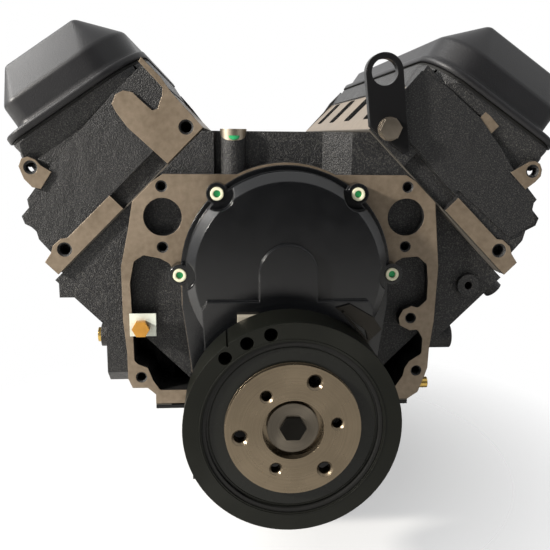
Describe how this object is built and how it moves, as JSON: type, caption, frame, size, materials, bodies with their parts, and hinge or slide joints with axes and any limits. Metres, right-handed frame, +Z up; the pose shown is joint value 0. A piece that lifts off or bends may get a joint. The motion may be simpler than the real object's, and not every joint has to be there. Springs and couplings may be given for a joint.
{
  "type": "vee engine long block",
  "caption": "Vee engine long block: cast block, heads with covers, moulded timing cover, balancer, oil pan, crank and valve gear inside.",
  "frame": {"origin": "crankshaft axis in the rear face of the flywheel flange", "axes": "+X to the viewer's right when facing the front, +Y to the rear along the crankshaft, +Z up"},
  "size_m": [0.5624, 0.6713, 0.5782],
  "materials": {
    "block_paint": "black paint over sand-cast iron with bare machined faces",
    "head_paint": "black paint over sand-cast iron with bare machined pads",
    "cover_paint": "satin black paint on pressed steel",
    "timing_plastic": "black glass-filled nylon, moulded",
    "pan_paint": "gloss black paint on pressed steel",
    "ring_paint": "thin black paint on turned iron",
    "hub_iron": "turned face, the rest thin black paint",
    "bare_iron": "bare cast iron",
    "machined_steel": "ground steel",
    "forged_steel": "forged steel, shot peened",
    "dark_steel": "black oxide",
    "bolt_steel": "plain machined bolt head",
    "spring_steel": "bright spring steel",
    "chain_steel": "hardened steel",
    "bearing_metal": "tin-aluminium bearing lining",
    "cast_aluminium": "cast aluminium, turned",
    "zinc_plate": "pressed steel, yellow zinc plated",
    "seal_rubber": "moulded nitrile rubber",
    "head_gasket": "graphite composite sheet",
    "cover_gasket": "moulded rubber",
    "painted_bolt": "painted over with the cover",
    "black_plastic": "moulded nylon",
    "painted_sheet": "black paint, bare sheared edges",
    "cream_sleeve": "cream coated head with green sealant in its socket",
    "sensor_plastic": "natural nylon",
    "eye_paint": "satin black coating on steel plate",
    "tag_zinc": "white zinc plated sheet",
    "yellow_zinc": "yellow chromated zinc on steel",
    "brass_fitting": "plain brass"
  },
  "bodies": {
    "engine": {"cylinder_block": "block_paint", "main_bearing_caps": "bare_iron", "core_plugs": "zinc_plate", "main_cap_bolts": "dark_steel", "main_bearings": "bearing_metal", "cam_bearings": "bearing_metal", "rear_main_seal": "seal_rubber", "rod_bearings": "bearing_metal", "connecting_rods": "forged_steel", "rod_caps": "forged_steel", "piston_pins": "machined_steel", "pistons": "cast_aluminium", "cam_thrust_plate": "machined_steel", "valve_lifters": "machined_steel", "lifter_retainer": "spring_steel", "pushrods": "spring_steel", "left_head_gasket": "head_gasket", "right_head_gasket": "head_gasket", "left_cylinder_head": "head_paint", "right_cylinder_head": "head_paint", "head_bolts": "dark_steel", "intake_valves": "machined_steel", "exhaust_valves": "machined_steel", "valve_springs": "spring_steel", "spring_retainers": "dark_steel", "rocker_studs": "dark_steel", "rocker_arms": "forged_steel", "valve_cover_gaskets": "cover_gasket", "left_valve_cover": "cover_paint", "right_valve_cover": "cover_paint", "valve_cover_bolts": "painted_bolt", "breather_cap": "black_plastic", "timing_chain": "chain_steel", "timing_cover_gasket": "head_gasket", "timing_cover": "timing_plastic", "timing_cover_bolts": "cream_sleeve", "front_crank_seal": "seal_rubber", "timing_pointer": "painted_sheet", "crank_sensor": "sensor_plastic", "oil_pump": "bare_iron", "oil_pan_gasket": "head_gasket", "oil_pan": "pan_paint", "oil_pan_bolts": "dark_steel", "drain_plug": "dark_steel", "lifting_eye": "eye_paint", "lifting_eye_bolt": "bolt_steel", "tag_plate": "tag_zinc", "tag_bolt": "yellow_zinc", "block_plugs": "brass_fitting"},
    "crank": {"crankshaft": "machined_steel", "crank_sprocket": "forged_steel", "balancer_hub": "hub_iron", "balancer_rubber": "seal_rubber", "balancer_ring": "ring_paint", "balancer_washer": "machined_steel", "balancer_bolt": "dark_steel"},
    "cam": {"camshaft": "machined_steel", "cam_sprocket": "forged_steel", "cam_sprocket_bolts": "dark_steel"},
    "filler_cap": {"oil_filler_cap": "black_plastic"}
  },
  "joints": [
    {"name": "crank_spin", "type": "hinge", "parent": "engine", "child": "crank", "pos_m": [0, 0, 0], "axis": [0, 1, 0], "continuous": true, "deforming": ["timing_chain", "pistons", "piston_pins", "connecting_rods", "rod_caps", "rod_bearings"]},
    {"name": "cam_spin", "type": "hinge", "parent": "engine", "child": "cam", "pos_m": [0, -0.57, 0.1309], "axis": [0, 1, 0], "continuous": true},
    {"name": "filler_cap_turn", "type": "hinge", "parent": "engine", "child": "filler_cap", "pos_m": [0.24799, -0.422, 0.35159], "axis": [0.5573, 0, 0.8303], "range_deg": [0, 90]}
  ],
  "couplings": [
    {"joint": "cam_spin", "follows": "crank_spin", "ratio": 0.5}
  ]
}
